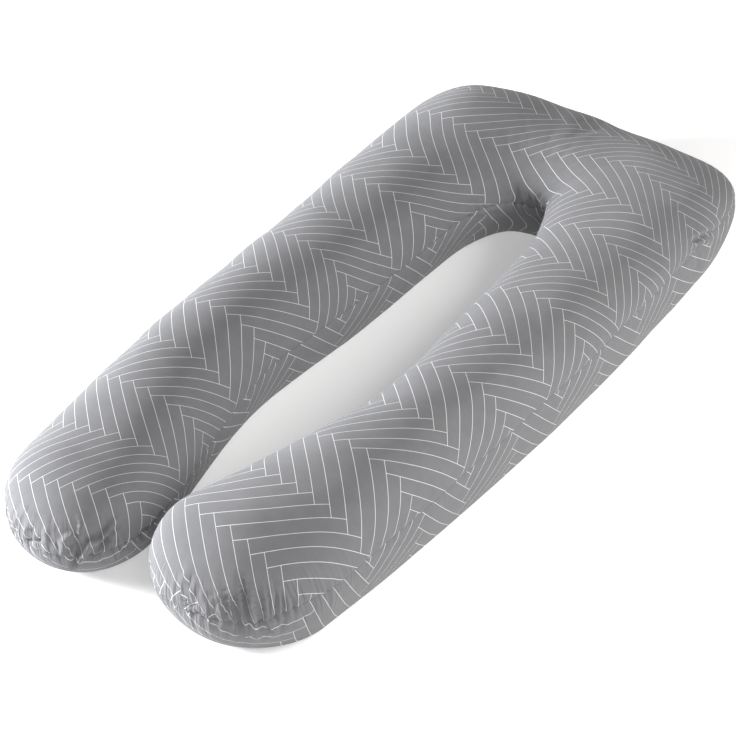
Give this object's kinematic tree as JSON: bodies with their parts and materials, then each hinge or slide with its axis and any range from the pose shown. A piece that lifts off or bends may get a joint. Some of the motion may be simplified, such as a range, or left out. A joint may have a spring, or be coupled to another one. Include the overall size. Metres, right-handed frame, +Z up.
{
  "type": "body pillow",
  "caption": "U-shaped body pillow: long padded legs joined by a straight head end, in a grey cloth cover with a fine white herringbone line print.",
  "frame": {"origin": "on the surface that the pillow lies on, under the middle of its bounding box", "axes": "+Z up out of the top panel, +Y towards the head end that joins the legs, +X towards the fuller leg"},
  "size_m": [0.7036, 1.4142, 0.2102],
  "materials": {
    "cover_cloth": "mid-grey smooth woven cloth printed with thin white herringbone lines"
  },
  "bodies": {
    "root": {"pillow": "cover_cloth"}
  },
  "joints": []
}
